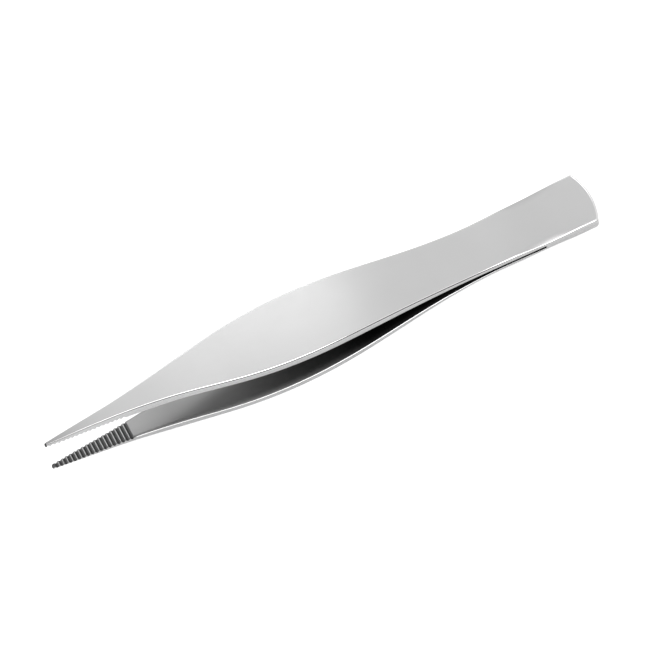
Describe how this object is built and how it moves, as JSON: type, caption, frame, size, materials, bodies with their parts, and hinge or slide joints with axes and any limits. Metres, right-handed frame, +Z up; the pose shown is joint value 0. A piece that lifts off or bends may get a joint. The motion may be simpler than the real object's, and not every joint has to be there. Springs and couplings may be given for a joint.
{
  "type": "tweezers",
  "caption": "Slender steel tweezers: leaf-shaped, bowed spring arms joined at a flat head, with fine points and meshing grooved jaws for picking up small things.",
  "frame": {"origin": "on the ground, under the middle of the bounding box", "axes": "+X from the head towards the points, Y across the arms, +Z up. The tweezers lie on the lower arm's rear edge and bow, the way they come to rest, so the head's flats lean 3.6 degrees."},
  "size_m": [0.1006, 0.0124, 0.0119],
  "materials": {
    "steel": "satin"
  },
  "bodies": {
    "root": {"upper_arm": "steel", "lower_arm": "steel"}
  },
  "joints": []
}
